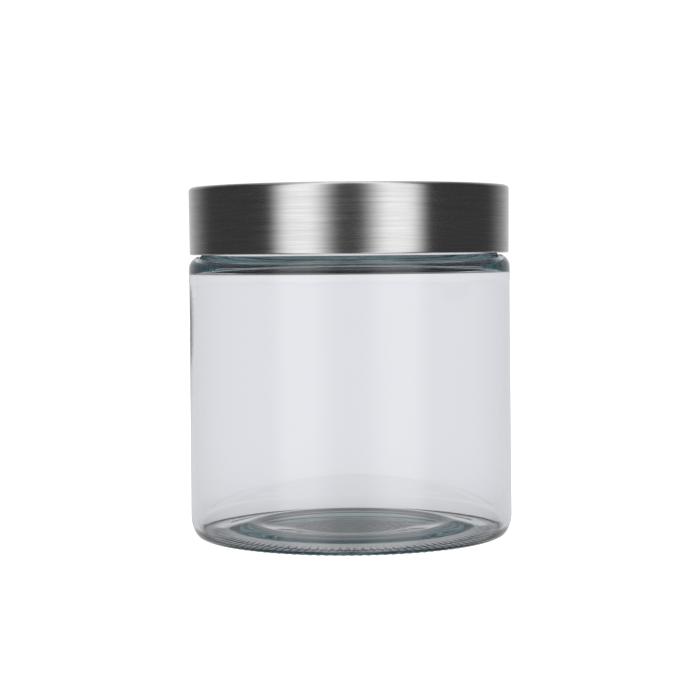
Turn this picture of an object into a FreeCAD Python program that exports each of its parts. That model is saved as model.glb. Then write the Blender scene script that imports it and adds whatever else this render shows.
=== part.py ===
"""Wide-mouth glass canister with a brushed steel screw lid.

Four separate pieces: the moulded glass jar, the drawn steel lid shell, the moulded plastic insert that
carries the lid's threads, and the silicone sealing ring. The origin is the centre of the base, on the
surface that the jar stands on, and +Z points up. All lengths are in millimetres.
"""
import FreeCAD, Part
import math
import os

Vector = FreeCAD.Vector

# Driving dimensions of the whole object
TOTAL_HEIGHT = 119.0
BODY_RADIUS = 55.0
LID_HEIGHT = 23.0

# Glass jar, outside
HEEL_START_Z = 7.0
HEEL_ARC = 10.0
BEARING_ARC = 3.0
BEARING_INNER_R = 46.8
SHOULDER_START_Z = 91.2
SHOULDER_ARC = 4.6
LEDGE_Z = 95.45
NECK_RADIUS = 50.6
NECK_ROOT_ARC = 0.8
RIM_Z = 115.2
RIM_ROUND = 1.0

# Glass jar, underside: shallow grooves in the middle, then a low ridge, then the rise behind the foot
CENTRE_R = 18.4
CENTRE_Z = 0.5
GROOVES = 6
GROOVE_DEPTH = 0.1
STEP_RUN = 0.8
STEP_RISE = 0.3
RIDGE_R = 33.0
RIDGE_Z = 1.2
PUSH_UP_R = 41.5
PUSH_UP_Z = 1.6
UNDERSIDE_EASE = 1.2

# Glass jar, inside: the wall keeps its thickness round the heel and the foot, and the floor is dished
WALL = 1.8
VALLEY_INNER_R = 46.6
PLATEAU_R = 34.0
PLATEAU_Z = 4.6
DISH_R = 19.0
DISH_Z = 2.4
FLOOR_EASE = 3.0
INNER_SHOULDER_Z = 89.3
INNER_SHOULDER_ARC = 3.9
MOUTH_RADIUS = 47.2
MOUTH_ARC = 2.1

# Screw thread: four starts, each a short run, that share one lead
THREAD_STARTS = 4
THREAD_LEAD = 20.0
THREAD_BASE_HALF = 1.2
THREAD_CREST_HALF = 0.6
THREAD_DEPTH = 1.3
THREAD_EMBED = 0.5
THREAD_SECTIONS = 12
FADE_SHARE = 0.22
THREAD_TURN = 20.0
JAR_THREAD_SPAN = 80.0
JAR_THREAD_Z = 104.0
LID_THREAD_SPAN = 70.0
LID_THREAD_DROP = 1.75

# Steel lid shell
SHELL_TOP_R = 54.9
SHELL_TAPER = 0.25
SHELL_SHEET = 0.4
SHELL_EDGE_ARC = 1.3
HEM_ARC = 0.6
HEM_LEG = 0.4

# Plastic lid insert
SKIRT_OUTER_R = 53.9
SKIRT_INNER_R = 52.4
SKIRT_CHAMFER = 1.4
SKIRT_LIFT = 1.2
PANEL = 1.5
SEAT_STEP = 0.2
PLUG_OUTER_R = 46.6
PLUG_INNER_R = 45.6
PLUG_DEPTH = 2.5
PLUG_ROOT = 1.0
PLUG_DRAFT = 0.3
SNAP_BEAD_Z = 114.6
SNAP_BEAD_HALF = 0.5
SNAP_BEAD_DEPTH = 1.0
RIB_RINGS = (14.0, 30.0)
RIB_HALF = 0.5
RIB_DEPTH = 0.8
CRUSH_RIBS = 24
CRUSH_RIB_HALF = 0.6
CRUSH_BITE = 0.02
CRUSH_ROOT = 0.5
CRUSH_RIB_LIFT = 2.0

# Silicone sealing ring
SEAL_INNER_R = 46.9
SEAL_OUTER_R = 51.7
SEAL_GAP = 0.1
SEAL_ROUND = 0.3

LID_BOTTOM_Z = TOTAL_HEIGHT - LID_HEIGHT
PANEL_TOP_Z = TOTAL_HEIGHT - SHELL_SHEET
INNER_RADIUS = BODY_RADIUS - WALL

# The most of a straight stretch that one eased corner takes up
MOST_TRIM = 0.45


def point(r, z):
    """A point of a half section, which lies in the XZ plane."""
    return Vector(r, 0, z)


def line(a, b):
    return Part.LineSegment(a, b).toShape()


def arc(centre, radius, start, end):
    """An arc about centre, from the angle start to the angle end, in degrees above the radial direction."""
    def at(angle):
        turn = math.radians(angle)
        return centre + point(radius * math.cos(turn), radius * math.sin(turn))
    return Part.Arc(at(start), at((start + end) / 2), at(end)).toShape()


def eased(corners, reach):
    """Edges through the corners. Each inner corner becomes an arc that starts and ends reach away from it, or
    nearer where the next corner is close."""
    edges = []
    start = corners[0]
    for before, corner, after in zip(corners, corners[1:], corners[2:]):
        back = before - corner
        ahead = after - corner
        trim = min(reach, MOST_TRIM * min(back.Length, ahead.Length))
        back.normalize()
        ahead.normalize()
        half_angle = back.getAngle(ahead) / 2
        inward = (back + ahead).normalize()
        middle = corner + inward * (trim / math.cos(half_angle) - trim * math.tan(half_angle))
        edges.append(line(start, corner + back * trim))
        edges.append(Part.Arc(corner + back * trim, middle, corner + ahead * trim).toShape())
        start = corner + ahead * trim
    return edges + [line(start, corners[-1])]


def outline(pieces):
    """Joins edges and points, in order, into one closed wire. A point stands for a corner."""
    edges = []
    last = None
    first = None
    for piece in pieces:
        is_point = isinstance(piece, FreeCAD.Vector)
        start = piece if is_point else piece.firstVertex(True).Point
        end = piece if is_point else piece.lastVertex(True).Point
        if last is not None and last.distanceToPoint(start) > 1e-6:
            edges.append(line(last, start))
        if not is_point:
            edges.append(piece)
        first = start if first is None else first
        last = end
    if last.distanceToPoint(first) > 1e-6:
        edges.append(line(last, first))
    return Part.Wire(edges)


def turned(pieces):
    """The solid that a half section sweeps in a full turn about the Z axis."""
    face = Part.Face(outline(pieces))
    solid = face.revolve(Vector(0, 0, 0), Vector(0, 0, 1), 360)
    return solid if solid.Volume > 0 else solid.reversed()


def thread_section(angle, z, root_r, outward, size):
    """A trapezoid across the thread at one angle. size runs from 0, faded out, to 1, full depth."""
    side = 1 if outward else -1
    base = root_r - side * THREAD_EMBED
    crest = root_r + side * THREAD_DEPTH * size
    slope = (THREAD_BASE_HALF - THREAD_CREST_HALF) / THREAD_DEPTH
    base_half = THREAD_BASE_HALF + slope * THREAD_EMBED
    crest_half = THREAD_BASE_HALF - slope * THREAD_DEPTH * size
    corners = [(base, -base_half), (crest, -crest_half), (crest, crest_half), (base, base_half)]
    turn = math.radians(angle)
    ring = [Vector(r * math.cos(turn), r * math.sin(turn), z + up) for r, up in corners]
    return Part.makePolygon(ring + ring[:1])


def thread_run(start_angle, span, start_z, root_r, outward):
    """One start of the thread: a loft along its helix, which fades out at both ends."""
    sections = []
    for i in range(THREAD_SECTIONS + 1):
        share = i / THREAD_SECTIONS
        nearest_end = min(share, 1 - share)
        fade = min(1.0, nearest_end / FADE_SHARE)
        size = 0.05 + 0.95 * math.sin(math.pi / 2 * fade)
        angle = start_angle + share * span
        z = start_z + THREAD_LEAD * share * span / 360
        sections.append(thread_section(angle, z, root_r, outward, size))
    return Part.makeLoft(sections, True, False)


def thread(span, start_z, root_r, outward):
    """All starts of a thread, evenly spaced round the axis."""
    step = 360 / THREAD_STARTS
    return [thread_run(THREAD_TURN + n * step, span, start_z, root_r, outward) for n in range(THREAD_STARTS)]


def underside():
    """From the axis out to the foot that the jar stands on."""
    pitch = CENTRE_R / GROOVES
    corners = [point(0, CENTRE_Z)]
    for n in range(GROOVES):
        corners.append(point((n + 0.5) * pitch, CENTRE_Z + GROOVE_DEPTH))
        corners.append(point((n + 1) * pitch, CENTRE_Z))
    rise = [
        point(CENTRE_R + STEP_RUN, CENTRE_Z + STEP_RISE),
        point(RIDGE_R, RIDGE_Z),
        point(PUSH_UP_R, PUSH_UP_Z),
        point(BEARING_INNER_R, 0),
    ]
    return corners + eased(corners[-1:] + rise, UNDERSIDE_EASE)


def glass_jar():
    """The jar: thin wall and heel, dished floor, round shoulder, and a threaded neck."""
    heel_centre = point(BODY_RADIUS - HEEL_ARC, HEEL_START_Z)
    heel_angle = math.degrees(math.asin((HEEL_START_Z - BEARING_ARC) / (HEEL_ARC - BEARING_ARC)))
    bearing_r = heel_centre.x + (HEEL_ARC - BEARING_ARC) * math.cos(math.radians(heel_angle))
    bearing_centre = point(bearing_r, BEARING_ARC)
    shoulder_centre = point(BODY_RADIUS - SHOULDER_ARC, SHOULDER_START_Z)
    shoulder_angle = math.degrees(math.asin((LEDGE_Z - SHOULDER_START_Z) / SHOULDER_ARC))
    neck_root = point(NECK_RADIUS + NECK_ROOT_ARC, LEDGE_Z + NECK_ROOT_ARC)
    outer_round = point(NECK_RADIUS - RIM_ROUND, RIM_Z - RIM_ROUND)
    inner_round = point(MOUTH_RADIUS + RIM_ROUND, RIM_Z - RIM_ROUND)
    inner_shoulder = point(INNER_RADIUS - INNER_SHOULDER_ARC, INNER_SHOULDER_Z)
    mouth_r = MOUTH_RADIUS + MOUTH_ARC
    reach = INNER_SHOULDER_ARC + MOUTH_ARC
    meet_angle = math.degrees(math.acos((mouth_r - inner_shoulder.x) / reach))
    mouth_centre = point(mouth_r, INNER_SHOULDER_Z + reach * math.sin(math.radians(meet_angle)))
    floor = [
        point(bearing_r, WALL),
        point(VALLEY_INNER_R, WALL),
        point(PLATEAU_R, PLATEAU_Z),
        point(DISH_R, DISH_Z),
        point(0, DISH_Z),
    ]
    body = turned([
        *underside(),
        arc(bearing_centre, BEARING_ARC, -90, -heel_angle),
        arc(heel_centre, HEEL_ARC, -heel_angle, 0),
        arc(shoulder_centre, SHOULDER_ARC, 0, shoulder_angle),
        arc(neck_root, NECK_ROOT_ARC, 270, 180),
        arc(outer_round, RIM_ROUND, 0, 90),
        arc(inner_round, RIM_ROUND, 90, 180),
        arc(mouth_centre, MOUTH_ARC, 180, 180 + meet_angle),
        arc(inner_shoulder, INNER_SHOULDER_ARC, meet_angle, 0),
        arc(heel_centre, HEEL_ARC - WALL, 0, -heel_angle),
        arc(bearing_centre, BEARING_ARC - WALL, -heel_angle, -90),
        *eased(floor, FLOOR_EASE),
    ])
    return body.fuse(thread(JAR_THREAD_SPAN, JAR_THREAD_Z, NECK_RADIUS, True))


def lid_shell():
    """The drawn steel cap: flat top, rounded edge, slightly tapered side and a hem rolled inwards."""
    hem_r = SHELL_TOP_R - SHELL_TAPER - HEM_ARC
    hem = point(hem_r, LID_BOTTOM_Z + HEM_ARC)
    hem_inside = HEM_ARC - SHELL_SHEET
    leg_top = hem.z + HEM_LEG
    edge = point(SHELL_TOP_R - SHELL_EDGE_ARC, TOTAL_HEIGHT - SHELL_EDGE_ARC)
    return turned([
        point(0, PANEL_TOP_Z),
        arc(edge, SHELL_EDGE_ARC - SHELL_SHEET, 90, 0),
        arc(hem, hem_inside, 0, -180),
        point(hem_r - hem_inside, leg_top),
        point(hem_r - HEM_ARC, leg_top),
        arc(hem, HEM_ARC, -180, 0),
        arc(edge, SHELL_EDGE_ARC, 0, 90),
        point(0, TOTAL_HEIGHT),
    ])


def crush_rib(n):
    """A small upright rib on the skirt, which grips the steel shell."""
    rib_bottom = LID_BOTTOM_Z + SKIRT_LIFT + CRUSH_RIB_LIFT
    rib_top = PANEL_TOP_Z - 3 * SKIRT_CHAMFER
    share = (PANEL_TOP_Z - rib_bottom) / LID_HEIGHT
    shell_inner_r = SHELL_TOP_R - SHELL_SHEET - SHELL_TAPER * share
    depth = shell_inner_r + CRUSH_BITE - SKIRT_OUTER_R
    rib = Part.makeBox(
        depth + CRUSH_ROOT,
        2 * CRUSH_RIB_HALF,
        rib_top - rib_bottom,
        Vector(SKIRT_OUTER_R - CRUSH_ROOT, -CRUSH_RIB_HALF, rib_bottom),
    )
    rib.rotate(Vector(0, 0, 0), Vector(0, 0, 1), n * 360 / CRUSH_RIBS)
    return rib


def lid_insert():
    """The moulded cap inside the shell: panel, plug lip, seal seat, threaded skirt and crush ribs."""
    panel_z = PANEL_TOP_Z - PANEL
    seat_z = panel_z - SEAT_STEP
    skirt_bottom = LID_BOTTOM_Z + SKIRT_LIFT
    bead_r = SKIRT_INNER_R - SNAP_BEAD_DEPTH
    bead_low = SNAP_BEAD_Z - SNAP_BEAD_HALF - SNAP_BEAD_DEPTH
    bead_high = SNAP_BEAD_Z + SNAP_BEAD_HALF
    ribs = []
    for ring_r in RIB_RINGS:
        ribs += [
            point(ring_r - RIB_HALF, panel_z),
            point(ring_r - RIB_HALF, panel_z - RIB_DEPTH),
            point(ring_r + RIB_HALF, panel_z - RIB_DEPTH),
            point(ring_r + RIB_HALF, panel_z),
        ]
    cap = turned([
        point(0, PANEL_TOP_Z),
        point(0, panel_z),
        *ribs,
        point(PLUG_INNER_R - PLUG_ROOT, panel_z),
        point(PLUG_INNER_R, seat_z - PLUG_DEPTH),
        point(PLUG_OUTER_R - PLUG_DRAFT, seat_z - PLUG_DEPTH),
        point(PLUG_OUTER_R, seat_z),
        point(SKIRT_INNER_R, seat_z),
        point(SKIRT_INNER_R, bead_high),
        point(bead_r, bead_high - SNAP_BEAD_HALF),
        point(bead_r, bead_low + SNAP_BEAD_DEPTH),
        point(SKIRT_INNER_R, bead_low),
        point(SKIRT_INNER_R, skirt_bottom),
        point(SKIRT_OUTER_R, skirt_bottom),
        point(SKIRT_OUTER_R, PANEL_TOP_Z - SKIRT_CHAMFER),
        point(SKIRT_OUTER_R - SKIRT_CHAMFER, PANEL_TOP_Z),
    ])
    grips = [crush_rib(n) for n in range(CRUSH_RIBS)]
    lugs = thread(LID_THREAD_SPAN, JAR_THREAD_Z - LID_THREAD_DROP, SKIRT_INNER_R, False)
    return cap.fuse(grips + lugs)


def seal_ring():
    """The flat silicone ring that lies between the glass rim and the insert's seat."""
    seat_z = PANEL_TOP_Z - PANEL - SEAT_STEP
    top = seat_z - SEAL_GAP
    bottom = RIM_Z + SEAL_GAP
    low_out = point(SEAL_OUTER_R - SEAL_ROUND, bottom + SEAL_ROUND)
    low_in = point(SEAL_INNER_R + SEAL_ROUND, bottom + SEAL_ROUND)
    high_out = point(SEAL_OUTER_R - SEAL_ROUND, top - SEAL_ROUND)
    high_in = point(SEAL_INNER_R + SEAL_ROUND, top - SEAL_ROUND)
    return turned([
        arc(low_out, SEAL_ROUND, -90, 0),
        arc(high_out, SEAL_ROUND, 0, 90),
        arc(high_in, SEAL_ROUND, 90, 180),
        arc(low_in, SEAL_ROUND, 180, 270),
    ])


def main():
    os.makedirs("parts", exist_ok=True)
    makers = (glass_jar, lid_shell, lid_insert, seal_ring)
    for maker in makers:
        name = maker.__name__
        shape = maker()
        volume = shape.Volume / 1000
        print(f"{name}: valid {shape.isValid()}, solids {len(shape.Solids)}, {volume:.1f} cm3")
        Part.makeCompound(shape.Solids).exportStep(f"parts/{name}.step")


main()
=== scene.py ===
"""Looks of the lidded glass canister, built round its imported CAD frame.

The jar and the steel shell are turned again here as fine meshes. The plastic insert and the sealing ring keep
their CAD shape. Sizes are in millimetres and angles in degrees up to the mesh itself, which is in metres.
"""
import math

import bpy
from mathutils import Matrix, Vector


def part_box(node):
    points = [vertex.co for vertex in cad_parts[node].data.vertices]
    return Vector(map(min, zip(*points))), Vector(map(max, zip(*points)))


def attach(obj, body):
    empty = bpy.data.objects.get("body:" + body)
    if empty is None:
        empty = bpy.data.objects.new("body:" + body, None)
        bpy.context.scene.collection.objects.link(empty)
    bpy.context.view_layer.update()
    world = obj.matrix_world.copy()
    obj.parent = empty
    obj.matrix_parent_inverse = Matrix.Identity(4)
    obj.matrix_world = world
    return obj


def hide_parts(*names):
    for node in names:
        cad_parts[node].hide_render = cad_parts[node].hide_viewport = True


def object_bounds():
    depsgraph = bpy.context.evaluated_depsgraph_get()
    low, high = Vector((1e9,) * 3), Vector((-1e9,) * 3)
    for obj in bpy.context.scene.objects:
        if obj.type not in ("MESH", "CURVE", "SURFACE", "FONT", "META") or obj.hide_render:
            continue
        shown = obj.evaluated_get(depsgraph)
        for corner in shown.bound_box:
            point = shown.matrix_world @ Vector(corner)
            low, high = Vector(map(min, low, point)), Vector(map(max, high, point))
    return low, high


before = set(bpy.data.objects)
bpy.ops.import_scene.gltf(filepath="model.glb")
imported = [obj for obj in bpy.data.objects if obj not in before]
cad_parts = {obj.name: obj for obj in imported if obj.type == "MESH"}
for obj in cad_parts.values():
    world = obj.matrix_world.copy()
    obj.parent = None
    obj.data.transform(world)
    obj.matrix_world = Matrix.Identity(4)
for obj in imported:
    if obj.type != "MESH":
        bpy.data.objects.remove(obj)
cad_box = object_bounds()

MM = 0.001

# Places taken from the frame, in millimetres
jar_low, jar_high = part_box("glass_jar")
shell_low, shell_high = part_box("lid_shell")
BODY_R = jar_high.x / MM
RIM_Z = jar_high.z / MM
SHELL_R = shell_high.x / MM
SHELL_TOP_Z = shell_high.z / MM
SHELL_BOTTOM_Z = shell_low.z / MM

# Meshes: steps round a turned piece, and how many fine steps replace each of them on the ribbed foot
TURN_STEPS = 320
FINE = 3

# Most of a straight run that rounding its corner may take up
SOFT_MOST = 0.45

# Jar, outside
HEEL_START_Z = 7.0
HEEL_ARC = 10.0
BEARING_ARC = 3.0
BEARING_INNER_R = 46.8
SHOULDER_DROP = 24.0
SHOULDER_ARC = 4.6
LEDGE_RISE = 4.25
NECK_R = 50.6
NECK_ROOT_ARC = 0.8
RIM_ROUND = 1.0

# Where the heel's two arcs meet, and where the foot's flat ring ends
HEEL_ANGLE = math.degrees(math.asin((HEEL_START_Z - BEARING_ARC) / (HEEL_ARC - BEARING_ARC)))
BEARING_EDGE_R = BODY_R - HEEL_ARC + (HEEL_ARC - BEARING_ARC) * math.cos(math.radians(HEEL_ANGLE))

# Jar, underside
PUSH_UP_R = 41.5
PUSH_UP_Z = 1.6
RIDGE_R = 33.0
RIDGE_Z = 1.2
CENTRE_R = 18.4
CENTRE_Z = 0.5
STEP_RISE = 0.3
STEP_RUN = 0.8
UNDER_SOFT = 1.2
GROOVES = 6
GROOVE_DEPTH = 0.1
GROOVE_SOFT = 0.8
FOOT_RIBS = 120
FOOT_RIB_DEPTH = 0.4
FOOT_RIB_REACH = 2.6
FOOT_RIB_FULLNESS = 0.7
FOOT_RIB_R = (BEARING_INNER_R + BEARING_EDGE_R) / 2 + 0.6

# Jar, inside
WALL = 1.8
PLATEAU_R = 34.0
PLATEAU_Z = 4.6
DISH_R = 19.0
DISH_Z = 2.4
FLOOR_SOFT = 3.0
VALLEY_INNER_R = 46.6
INNER_SHOULDER_Z = 89.3
INNER_SHOULDER_ARC = 3.9
MOUTH_R = 47.2
MOUTH_ARC = 2.1
WAVE = 0.03
WAVE_LOW = 22.0
WAVE_FADE = 12.0

# Jar thread, which matches the insert's
THREAD_STARTS = 4
THREAD_LEAD = 20.0
THREAD_SPAN = 80.0
THREAD_TURN = 20.0
THREAD_Z = 104.0
THREAD_HALF = 1.2
THREAD_DEPTH = 1.25
THREAD_FADE = 0.22

# Steel shell
SHELL_TAPER = 0.25
SHELL_SHEET = 0.4
SHELL_EDGE_ARC = 1.3
HEM_ARC = 0.6
HEM_LEG = 0.4
PANEL_CENTRE_R = 12.0
PANEL_MARGIN = 1.0

# Noise is near its middle nearly everywhere, so ramps over it start and end inside 0 to 1
NOISE = (0.3, 0.7)

# Steel: darker and lighter strokes of the brush, and how rough they are
STEEL_DARK = (0.515, 0.515, 0.525, 1.0)
STEEL_LIGHT = (0.69, 0.685, 0.685, 1.0)
STROKE_SMOOTH = 0.225
STROKE_ROUGH = 0.275
CLOUD_ROUGH = 0.04
BRUSH_BUMP = 0.06
BRUSH_HEIGHT = 0.00005

# Strokes of the brush and broad clouds: scale round the axis, scale across it, both a metre, and detail
FINE_STROKES = (70, 5200, 2.0)
COARSE_STROKES = (25, 1300, 3.0)
CLOUDS = (22, 60, 2.0)
FINE_SHARE = 0.6
COARSE_SHARE = 0.4

# Glass: how its tint deepens with the length of the light's way, and the most turns of a light path in it
GLASS_IOR = 1.52
GLASS_TINT = (0.17, 0.55, 0.60, 1.0)
GLASS_DENSITY = 20.0
LIGHT_TURNS = 32

# Plastic and silicone, each between two shades
PLASTIC_DARK = (0.040, 0.042, 0.045, 1.0)
PLASTIC_LIGHT = (0.062, 0.065, 0.069, 1.0)
SILICONE_DARK = (0.68, 0.71, 0.71, 1.0)
SILICONE_LIGHT = (0.80, 0.82, 0.82, 1.0)

WHITE = (1.0, 1.0, 1.0, 1.0)
BLACK = (0.0, 0.0, 0.0, 1.0)

# The room that mirror-like surfaces meet. Pairs are where a smooth step starts and ends, by the angle aside
# from the camera's side for the boxes and backdrop, and by height for the ceiling.
BOX_NEAR = (6.0, 29.5)
BOX_FAR = (43.0, 60.0)
BOX = 1.32
BACKDROP_EDGE = (115.0, 172.0)
BACKDROP = 0.6
ROOM_CEILING_EDGE = (45.0, 80.0)
ROOM_CEILING = 0.8
ROOM_BASE = 0.058

# The tent that is met through the glass: dim at the camera's side, bright behind, dimmer higher up
TENT_TINT = (0.86, 0.845, 0.87, 1.0)
TENT_SIDE = (90.0, 150.0)
TENT_DIM = 0.5
TENT_BRIGHT = 1.0
TENT_EDGE = (1.0, 9.0)
TENT_UP = 0.2
TENT_CEILING_EDGE = (48.0, 70.0)
TENT_CEILING = 1.5

# The world as the camera sees it and as it lights dull surfaces
SEEN_LIGHT = 1.05
SOFT_LIGHT = 0.95

# Floor: half its width and its gap below the object, in metres
FLOOR_HALF = 6.0
FLOOR_GAP = 0.00002

# Floor: its paleness, a soft painted shade under the jar's middle and a painted ring of contact shadow under
# its foot, with the radii in millimetres. Both stand in for the jar's cast shadow, in the floor's colour and
# glow.
FLOOR_GREY = 0.5
FLOOR_TINT = (0.932, 0.914, 0.958)
FLOOR_GLOW = 0.4
FLOOR_SEEN_GLOW = 1.0
PAINTED_SHADE_R = 14.0
PAINTED_SHADE_END_R = 44.0
PAINTED_SHADE_GLOW = 0.12
PAINTED_CONTACT_START_R = 49.5
PAINTED_CONTACT_FULL_R = 51.5
PAINTED_CONTACT_FADE_R = 54.0
PAINTED_CONTACT_END_R = 59.0
PAINTED_CONTACT_SHADE = 0.15

# Camera: lens and sensor in millimetres, shift as a share of the frame, distance in metres, roll in radians
LENS = 99.24
SENSOR = 36.0
SHIFT_X = 0.00114
SHIFT_Y = -0.1373
DISTANCE = 0.664
ROLL = 0.009


def arc(centre_r, centre_z, radius, start, end, steps):
    """Points of a section along an arc, both ends included. Angles are above the radial direction."""
    points = []
    for i in range(steps + 1):
        turn = math.radians(start + (end - start) * i / steps)
        points.append((centre_r + radius * math.cos(turn), centre_z + radius * math.sin(turn)))
    return points


def line(start, end, steps):
    """Points of a section along a straight line, both ends included."""
    return [
        (start[0] + (end[0] - start[0]) * i / steps, start[1] + (end[1] - start[1]) * i / steps)
        for i in range(steps + 1)
    ]


def softened(points, radius, steps):
    """The same open outline with each inner corner rounded, from radius before it to radius after it."""
    rounded = [points[0]]
    for before, corner, after in zip(points, points[1:], points[2:]):
        ends = []
        for other in (before, after):
            reach = math.dist(corner, other)
            share = min(radius / reach, SOFT_MOST)
            ends.append(tuple(c + (o - c) * share for c, o in zip(corner, other)))
        for i in range(steps + 1):
            t = i / steps
            rounded.append(tuple(
                (1 - t) ** 2 * a + 2 * t * (1 - t) * b + t ** 2 * c
                for a, b, c in zip(ends[0], corner, ends[1])
            ))
    rounded.append(points[-1])
    return rounded


def rows(points, warp=None, fine=False):
    """Points of a section as rows for turned_piece."""
    return [(r, z, warp, fine) for r, z in points]


def turned_piece(name, section):
    """A closed mesh turned about the Z axis.

    Each row is (r, z, warp, fine). r of 0 is a single point. warp, if there is one, takes the angle, r and z
    and gives the point's own r and z. A fine row has FINE times as many points.
    """
    vertices = []
    rings = []
    for r, z, warp, fine in section:
        count = TURN_STEPS * (FINE if fine else 1) if r > 0 else 1
        ring = range(len(vertices), len(vertices) + count)
        rings.append(ring)
        for i in range(count):
            angle = 2 * math.pi * i / count
            own_r, own_z = warp(angle, r, z) if warp else (r, z)
            vertices.append((own_r * MM * math.cos(angle), own_r * MM * math.sin(angle), own_z * MM))
    faces = []
    for low, high in zip(rings, rings[1:]):
        faces += between(low, high)
    mesh = bpy.data.meshes.new(name)
    mesh.from_pydata(vertices, [], faces)
    mesh.validate()
    mesh.polygons.foreach_set("use_smooth", [True] * len(mesh.polygons))
    mesh.update()
    piece = bpy.data.objects.new(name, mesh)
    bpy.context.scene.collection.objects.link(piece)
    return piece


def between(low, high):
    """The faces that join two rings of points, which may differ in how many points they have."""
    if len(low) == 1 or len(high) == 1:
        ring, tip = (high, low[0]) if len(low) == 1 else (low, high[0])
        pairs = [(ring[i], ring[(i + 1) % len(ring)]) for i in range(len(ring))]
        return [(tip, b, a) if len(low) == 1 else (a, b, tip) for a, b in pairs]
    if len(low) == len(high):
        count = len(low)
        return [(low[i], low[(i + 1) % count], high[(i + 1) % count], high[i]) for i in range(count)]
    coarse, dense = (low, high) if len(low) < len(high) else (high, low)
    faces = []
    for i in range(len(coarse)):
        a = coarse[i]
        b = coarse[(i + 1) % len(coarse)]
        inner = [dense[(i * FINE + j) % len(dense)] for j in range(FINE + 1)]
        fan = [(a, inner[1], inner[0]), (a, b, inner[2], inner[1]), (b, inner[3], inner[2])]
        faces += fan if coarse is low else [tuple(reversed(face)) for face in fan]
    return faces


def thread_height(angle, z):
    """How far the glass thread stands out from the neck at an angle in radians."""
    height = 0.0
    for n in range(THREAD_STARTS):
        start = THREAD_TURN + n * 360 / THREAD_STARTS
        along = (math.degrees(angle) - start) % 360
        share = along / THREAD_SPAN
        off = abs(z - THREAD_Z - THREAD_LEAD * along / 360) / THREAD_HALF
        if share < 1 and off < 1:
            fade = math.sin(math.pi / 2 * min(1.0, min(share, 1 - share) / THREAD_FADE))
            height = max(height, THREAD_DEPTH * fade * (0.5 + 0.5 * math.cos(math.pi * off)))
    return height


def neck_warp(angle, r, z):
    return r + thread_height(angle, z), z


def foot_warp(angle, r, z):
    """Short radial ribs on the ring that the jar stands on. The hollows are cut up into the glass."""
    hollow = (0.5 - 0.5 * math.cos(FOOT_RIBS * angle)) ** FOOT_RIB_FULLNESS
    reach = max(0.0, 1 - ((r - FOOT_RIB_R) / FOOT_RIB_REACH) ** 4)
    return r, z + FOOT_RIB_DEPTH * hollow * reach


def inner_warp(angle, r, z):
    """Slow unevenness of the glass wall, as a pressed jar has inside."""
    swell = (
        math.sin(3 * angle - 1.3 - z / 60)
        + 0.7 * math.sin(7 * angle - 0.4 + z / 35)
        + 0.4 * math.sin(13 * angle - 2.1 - z / 22)
    )
    below_shoulder = min(1.0, max(0.0, (INNER_SHOULDER_Z - z) / WAVE_FADE))
    above_heel = min(1.0, max(0.0, (z - WAVE_LOW) / WAVE_FADE))
    return r + WAVE * swell * (below_shoulder * above_heel), z


def underside():
    """From the axis out to the foot."""
    pitch = CENTRE_R / GROOVES
    grooved = [(0, CENTRE_Z)]
    for i in range(GROOVES):
        grooved += [((i + 0.5) * pitch, CENTRE_Z + GROOVE_DEPTH), ((i + 1) * pitch, CENTRE_Z)]
    outer = [
        grooved[-1],
        (CENTRE_R + STEP_RUN, CENTRE_Z + STEP_RISE),
        (RIDGE_R, RIDGE_Z),
        (PUSH_UP_R, PUSH_UP_Z),
        (BEARING_INNER_R, 0),
    ]
    return softened(grooved, GROOVE_SOFT, 4)[:-1] + softened(outer, UNDER_SOFT, 5)


def floor_section():
    """From the foot of the inside wall, through the valley behind the foot, to the axis."""
    heel = arc(BODY_R - HEEL_ARC, HEEL_START_Z, HEEL_ARC - WALL, 0, -HEEL_ANGLE, 18)
    heel += arc(BEARING_EDGE_R, BEARING_ARC, BEARING_ARC - WALL, -HEEL_ANGLE, -90, 8)[1:]
    corners = [heel[-1], (VALLEY_INNER_R, WALL), (PLATEAU_R, PLATEAU_Z), (DISH_R, DISH_Z), (0, DISH_Z)]
    return heel[:-1] + softened(corners, FLOOR_SOFT, 6)


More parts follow.
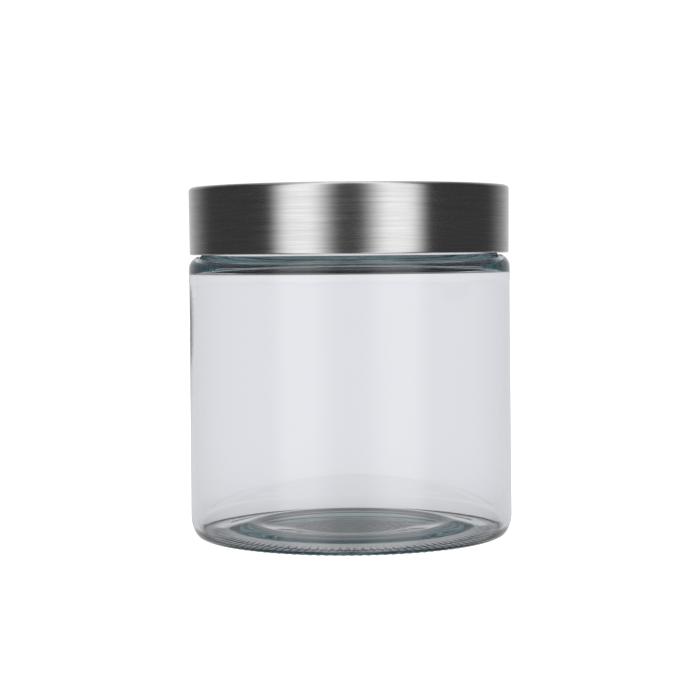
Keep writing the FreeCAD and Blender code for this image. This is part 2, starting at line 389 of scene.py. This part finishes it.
def jar():
    """The whole jar, in one closed section from the axis of the base round to the axis of the floor."""
    shoulder_z = RIM_Z - SHOULDER_DROP
    shoulder_r = BODY_R - SHOULDER_ARC
    shoulder_angle = math.degrees(math.asin(LEDGE_RISE / SHOULDER_ARC))
    root_z = shoulder_z + LEDGE_RISE + NECK_ROOT_ARC
    neck_top = RIM_Z - RIM_ROUND
    inner_r = BODY_R - WALL
    inner_shoulder_r = inner_r - INNER_SHOULDER_ARC
    mouth_r = MOUTH_R + MOUTH_ARC
    reach = INNER_SHOULDER_ARC + MOUTH_ARC
    meet = math.degrees(math.acos((mouth_r - inner_shoulder_r) / reach))
    mouth_z = INNER_SHOULDER_Z + reach * math.sin(math.radians(meet))

    foot = line((BEARING_INNER_R, 0), (BEARING_EDGE_R, 0), 6)[1:]
    foot += arc(BEARING_EDGE_R, BEARING_ARC, BEARING_ARC, -90, -HEEL_ANGLE, 8)[1:]
    outside = arc(BODY_R - HEEL_ARC, HEEL_START_Z, HEEL_ARC, -HEEL_ANGLE, 0, 18)[1:]
    outside += line((BODY_R, HEEL_START_Z), (BODY_R, shoulder_z), 10)[1:]
    outside += arc(shoulder_r, shoulder_z, SHOULDER_ARC, 0, shoulder_angle, 16)[1:]
    outside += arc(NECK_R + NECK_ROOT_ARC, root_z, NECK_ROOT_ARC, 270, 180, 6)
    neck = line((NECK_R, root_z), (NECK_R, neck_top), 56)[1:]
    mouth = arc(NECK_R - RIM_ROUND, neck_top, RIM_ROUND, 0, 90, 6)[1:]
    mouth += arc(MOUTH_R + RIM_ROUND, neck_top, RIM_ROUND, 90, 180, 6)
    mouth += line((MOUTH_R, neck_top), (MOUTH_R, mouth_z), 4)[1:]
    mouth += arc(mouth_r, mouth_z, MOUTH_ARC, 180, 180 + meet, 12)[1:]
    mouth += arc(inner_shoulder_r, INNER_SHOULDER_Z, INNER_SHOULDER_ARC, meet, 0, 16)[1:]
    inside = line((inner_r, INNER_SHOULDER_Z), (inner_r, HEEL_START_Z), 20)[1:]

    section = rows(underside()) + rows(foot, foot_warp, True) + rows(outside) + rows(neck, neck_warp)
    section += rows(mouth) + rows(inside, inner_warp) + rows(floor_section()[1:])
    return turned_piece("jar_glass", section)


def shell():
    """The steel shell, in one closed section from the axis under its panel round to the axis on top."""
    hem_r = SHELL_R - SHELL_TAPER - HEM_ARC
    hem_z = SHELL_BOTTOM_Z + HEM_ARC
    hem_inside = HEM_ARC - SHELL_SHEET
    edge_r = SHELL_R - SHELL_EDGE_ARC
    edge_z = SHELL_TOP_Z - SHELL_EDGE_ARC
    under_z = SHELL_TOP_Z - SHELL_SHEET
    panel_r = edge_r - PANEL_MARGIN
    section = [(0, under_z)]
    section += line((PANEL_CENTRE_R, under_z), (panel_r, under_z), 5)
    section += arc(edge_r, edge_z, SHELL_EDGE_ARC - SHELL_SHEET, 90, 0, 6)
    section += line(section[-1], (hem_r + hem_inside, hem_z), 6)[1:-1]
    section += arc(hem_r, hem_z, hem_inside, 0, -180, 8)
    section += [(hem_r - hem_inside, hem_z + HEM_LEG), (hem_r - HEM_ARC, hem_z + HEM_LEG)]
    section += arc(hem_r, hem_z, HEM_ARC, -180, 0, 16)
    section += line((hem_r + HEM_ARC, hem_z), (SHELL_R, edge_z), 12)[1:-1]
    section += arc(edge_r, edge_z, SHELL_EDGE_ARC, 0, 90, 12)
    section += line((panel_r, SHELL_TOP_Z), (PANEL_CENTRE_R, SHELL_TOP_Z), 5)
    section += [(0, SHELL_TOP_Z)]
    return turned_piece("steel_shell", rows(section))


class Nodes:
    """A short way to add shader nodes and link them."""

    def __init__(self, tree):
        self.tree = tree
        tree.nodes.clear()

    def add(self, kind, **inputs):
        """A node with its sockets set or linked. An underscore in a name stands for a space."""
        node = self.tree.nodes.new(kind)
        for name, value in inputs.items():
            self.put(node, name.replace("_", " "), value)
        return node

    def put(self, node, socket, value):
        """Sets one socket of a node, by its name or place, to a number or colour, or links it."""
        if isinstance(value, bpy.types.NodeSocket):
            self.tree.links.new(value, node.inputs[socket])
        else:
            node.inputs[socket].default_value = value

    def math(self, operation, *values):
        node = self.tree.nodes.new("ShaderNodeMath")
        node.operation = operation
        for i, value in enumerate(values):
            self.put(node, i, value)
        return node.outputs[0]

    def ramp(self, value, ends, start=0.0, end=1.0):
        """A smooth step from start to end as value goes from the first of ends to the second."""
        node = self.add(
            "ShaderNodeMapRange", Value=value, From_Min=ends[0], From_Max=ends[1], To_Min=start, To_Max=end
        )
        node.interpolation_type = "SMOOTHSTEP"
        return node.outputs["Result"]

    def noise(self, spot, scale, detail):
        node = self.add("ShaderNodeTexNoise", Vector=spot, Scale=scale, Detail=detail)
        return node.outputs["Fac"]

    def colour(self, share, low, high):
        """A colour between low and high."""
        node = self.tree.nodes.new("ShaderNodeMix")
        node.data_type = "RGBA"
        for socket, value in ((0, share), (6, low), (7, high)):
            self.put(node, socket, value)
        return node.outputs[2]

    def either(self, share, first, second):
        """The second shader for the share of light that it gives, and the first for the rest."""
        node = self.tree.nodes.new("ShaderNodeMixShader")
        for socket, value in enumerate((share, first.outputs[0], second.outputs[0])):
            self.put(node, socket, value)
        return node

    def background(self, colour, strength):
        return self.add("ShaderNodeBackground", Color=colour, Strength=strength)

    def finish(self, surface, kind="ShaderNodeOutputMaterial"):
        return self.add(kind, Surface=surface.outputs[0])


def new_material(name):
    material = bpy.data.materials.new(name)
    material.use_nodes = True
    return material, Nodes(material.node_tree)


def glass_material():
    """Clear soda-lime glass: a faint tint that deepens with the length of the light's way through it."""
    material, nodes = new_material("soda_lime_glass")
    surface = nodes.add("ShaderNodeBsdfPrincipled", Base_Color=WHITE, IOR=GLASS_IOR, Roughness=0.0)
    nodes.put(surface, "Transmission Weight", 1.0)
    clear = nodes.add("ShaderNodeBsdfTransparent")
    path = nodes.add("ShaderNodeLightPath")
    tint = nodes.add("ShaderNodeVolumeAbsorption", Color=GLASS_TINT, Density=GLASS_DENSITY)
    out = nodes.finish(nodes.either(path.outputs["Is Shadow Ray"], surface, clear))
    nodes.put(out, "Volume", tint.outputs[0])
    return material


def steel_material():
    """Stainless steel, brushed round its axis on the side and on the top."""
    material, nodes = new_material("brushed_steel")
    place = nodes.add("ShaderNodeTexCoord")
    split = nodes.add("ShaderNodeSeparateXYZ", Vector=place.outputs["Object"])
    x, y, z = split.outputs
    radius = nodes.math("SQRT", nodes.math("ADD", nodes.math("MULTIPLY", x, x), nodes.math("MULTIPLY", y, y)))
    across = nodes.math("ADD", z, radius)

    def strokes(round_scale, across_scale, detail):
        """Noise drawn out round the axis."""
        spot = nodes.add(
            "ShaderNodeCombineXYZ",
            X=nodes.math("MULTIPLY", x, round_scale),
            Y=nodes.math("MULTIPLY", y, round_scale),
            Z=nodes.math("MULTIPLY", across, across_scale),
        )
        return nodes.noise(spot.outputs[0], 1.0, detail)

    fine = nodes.math("MULTIPLY", strokes(*FINE_STROKES), FINE_SHARE)
    coarse = nodes.math("MULTIPLY", strokes(*COARSE_STROKES), COARSE_SHARE)
    marks = nodes.math("ADD", fine, coarse)
    stroke_roughness = nodes.ramp(marks, (0.25, 0.75), STROKE_SMOOTH, STROKE_ROUGH)
    cloud_roughness = nodes.ramp(strokes(*CLOUDS), NOISE, 0.0, CLOUD_ROUGH)
    bump = nodes.add("ShaderNodeBump", Strength=BRUSH_BUMP, Distance=BRUSH_HEIGHT, Height=marks)
    tangent = nodes.add("ShaderNodeTangent")
    tangent.direction_type = "RADIAL"
    tangent.axis = "Z"
    surface = nodes.add(
        "ShaderNodeBsdfPrincipled",
        Base_Color=nodes.colour(nodes.ramp(marks, NOISE), STEEL_DARK, STEEL_LIGHT),
        Metallic=1.0,
        Roughness=nodes.math("ADD", stroke_roughness, cloud_roughness),
        Anisotropic=0.9,
        Anisotropic_Rotation=0.25,
        Normal=bump.outputs[0],
        Tangent=tangent.outputs[0],
    )
    nodes.finish(surface)
    return material


def plastic_material():
    """Charcoal polypropylene with the fine satin of a spark-eroded mould."""
    material, nodes = new_material("charcoal_plastic")
    place = nodes.add("ShaderNodeTexCoord")
    grain = nodes.noise(place.outputs["Object"], 2500.0, 3.0)
    cloud = nodes.noise(place.outputs["Object"], 60.0, 2.0)
    bump = nodes.add("ShaderNodeBump", Strength=0.25, Distance=0.00003, Height=grain)
    surface = nodes.add(
        "ShaderNodeBsdfPrincipled",
        Base_Color=nodes.colour(cloud, PLASTIC_DARK, PLASTIC_LIGHT),
        Roughness=nodes.ramp(grain, NOISE, 0.38, 0.5),
        Normal=bump.outputs[0],
    )
    nodes.finish(surface)
    return material


def silicone_material():
    """Milky food-grade silicone, which lets a little light into it."""
    material, nodes = new_material("milky_silicone")
    place = nodes.add("ShaderNodeTexCoord")
    cloud = nodes.noise(place.outputs["Object"], 90.0, 3.0)
    surface = nodes.add(
        "ShaderNodeBsdfPrincipled",
        Base_Color=nodes.colour(cloud, SILICONE_DARK, SILICONE_LIGHT),
        Roughness=nodes.ramp(cloud, NOISE, 0.32, 0.45),
        Subsurface_Weight=0.4,
        Subsurface_Scale=0.002,
    )
    nodes.finish(surface)
    return material


def studio():
    """Light from all round, as in a white tent. Mirror-like surfaces meet tall soft boxes in a dim room."""
    world = bpy.data.worlds.new("studio")
    bpy.context.scene.world = world
    world.use_nodes = True
    world.cycles.sampling_method = "NONE"
    nodes = Nodes(world.node_tree)
    place = nodes.add("ShaderNodeTexCoord")
    split = nodes.add("ShaderNodeSeparateXYZ", Vector=place.outputs["Generated"])
    x, y, z = split.outputs
    degrees = 180 / math.pi
    turn = nodes.math("MULTIPLY", nodes.math("ARCTAN2", x, nodes.math("MULTIPLY", y, -1.0)), degrees)
    aside = nodes.math("ABSOLUTE", turn)
    height = nodes.math("MULTIPLY", nodes.math("ARCSINE", z), degrees)

    box_shape = nodes.math("MULTIPLY", nodes.ramp(aside, BOX_NEAR), nodes.ramp(aside, BOX_FAR, 1.0, 0.0))
    boxes = nodes.math("MULTIPLY", box_shape, BOX)
    backdrop = nodes.ramp(aside, BACKDROP_EDGE, 0.0, BACKDROP)
    ceiling = nodes.ramp(height, ROOM_CEILING_EDGE, 0.0, ROOM_CEILING)
    mirrored = nodes.math("ADD", nodes.math("ADD", boxes, backdrop), nodes.math("ADD", ceiling, ROOM_BASE))
    room = nodes.background(WHITE, mirrored)

    behind = nodes.ramp(aside, TENT_SIDE, TENT_DIM, TENT_BRIGHT)
    level = nodes.math("MULTIPLY", behind, nodes.ramp(height, TENT_EDGE, 1.0, TENT_UP))
    overhead = nodes.ramp(height, TENT_CEILING_EDGE, 0.0, TENT_CEILING)
    tent = nodes.background(TENT_TINT, nodes.math("ADD", level, overhead))

    path = nodes.add("ShaderNodeLightPath")
    last = nodes.either(path.outputs["Is Transmission Ray"], room, tent)
    last = nodes.either(path.outputs["Is Diffuse Ray"], last, nodes.background(WHITE, SOFT_LIGHT))
    last = nodes.either(path.outputs["Is Camera Ray"], last, nodes.background(WHITE, SEEN_LIGHT))
    nodes.finish(last, "ShaderNodeOutputWorld")


def floor_material():
    """Pale floor with a painted shade and a painted contact shadow where the jar stands, in its colour and
    glow. The camera itself sees it as white, without the painted shade.
    """
    material, nodes = new_material("pale_floor")
    place = nodes.add("ShaderNodeTexCoord")
    from_axis = nodes.add("ShaderNodeVectorMath", Vector=place.outputs["Object"])
    from_axis.operation = "LENGTH"
    r = from_axis.outputs["Value"]
    # Painted shade: the floor's glow is dimmed under the jar's middle in place of the shadow that the lid
    # casts through the glass.
    shade = nodes.ramp(r, (PAINTED_SHADE_R * MM, PAINTED_SHADE_END_R * MM), PAINTED_SHADE_GLOW, FLOOR_GLOW)
    # Painted contact shadow: a ring under the jar's foot where the floor's colour and glow are darkened.
    under = nodes.ramp(r, (PAINTED_CONTACT_START_R * MM, PAINTED_CONTACT_FULL_R * MM), 1.0, PAINTED_CONTACT_SHADE)
    beyond = nodes.ramp(r, (PAINTED_CONTACT_FADE_R * MM, PAINTED_CONTACT_END_R * MM), PAINTED_CONTACT_SHADE, 1.0)
    level = nodes.math("MAXIMUM", under, beyond)
    pale = (*(FLOOR_GREY * share for share in FLOOR_TINT), 1.0)
    surface = nodes.add(
        "ShaderNodeBsdfPrincipled",
        Base_Color=nodes.colour(level, BLACK, pale),
        Roughness=1.0,
        Specular_IOR_Level=0.0,
        Emission_Color=(*FLOOR_TINT, 1.0),
        Emission_Strength=nodes.math("MULTIPLY", shade, level),
    )
    glow = nodes.add("ShaderNodeEmission", Strength=FLOOR_SEEN_GLOW)
    seen = nodes.add("ShaderNodeAddShader")
    nodes.put(seen, 0, surface.outputs[0])
    nodes.put(seen, 1, glow.outputs[0])
    path = nodes.add("ShaderNodeLightPath")
    nodes.finish(nodes.either(path.outputs["Is Camera Ray"], surface, seen))
    return material


def floor():
    """A plain pale floor that mirror-like surfaces don't pick up."""
    mesh = bpy.data.meshes.new("floor")
    half = FLOOR_HALF
    corners = [(-half, -half, 0), (half, -half, 0), (half, half, 0), (-half, half, 0)]
    mesh.from_pydata(corners, [], [(0, 1, 2, 3)])
    plane = bpy.data.objects.new("floor", mesh)
    plane.location.z = cad_box[0].z - FLOOR_GAP
    bpy.context.scene.collection.objects.link(plane)
    plane.visible_glossy = False
    plane.data.materials.append(floor_material())


def camera():
    """Level with the lid's lower edge, a little over six jar widths away."""
    eye = bpy.data.cameras.new("camera")
    eye.lens = LENS
    eye.sensor_width = SENSOR
    eye.shift_x = SHIFT_X
    eye.shift_y = SHIFT_Y
    seen_from = bpy.data.objects.new("camera", eye)
    seen_from.location = (0.0, -DISTANCE, SHELL_BOTTOM_Z * MM)
    seen_from.rotation_euler = (math.pi / 2, ROLL, 0.0)
    bpy.context.scene.collection.objects.link(seen_from)
    bpy.context.scene.camera = seen_from


def light_paths():
    """Lets light be turned inside the glass often enough to come out again."""
    cycles = bpy.context.scene.cycles
    cycles.max_bounces = LIGHT_TURNS
    cycles.glossy_bounces = LIGHT_TURNS
    cycles.transmission_bounces = LIGHT_TURNS


def dress(node, material):
    """Gives a CAD node a material in place of its packed one."""
    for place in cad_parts[node].material_slots:
        place.material = material


glass_jar = jar()
glass_jar.data.materials.append(glass_material())
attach(glass_jar, "jar")
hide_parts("glass_jar")

steel_shell = shell()
steel_shell.data.materials.append(steel_material())
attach(steel_shell, "lid")
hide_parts("lid_shell")

dress("lid_insert", plastic_material())
dress("seal_ring", silicone_material())

floor()
studio()
camera()
light_paths()
bpy.context.scene.view_settings.view_transform = "Standard"
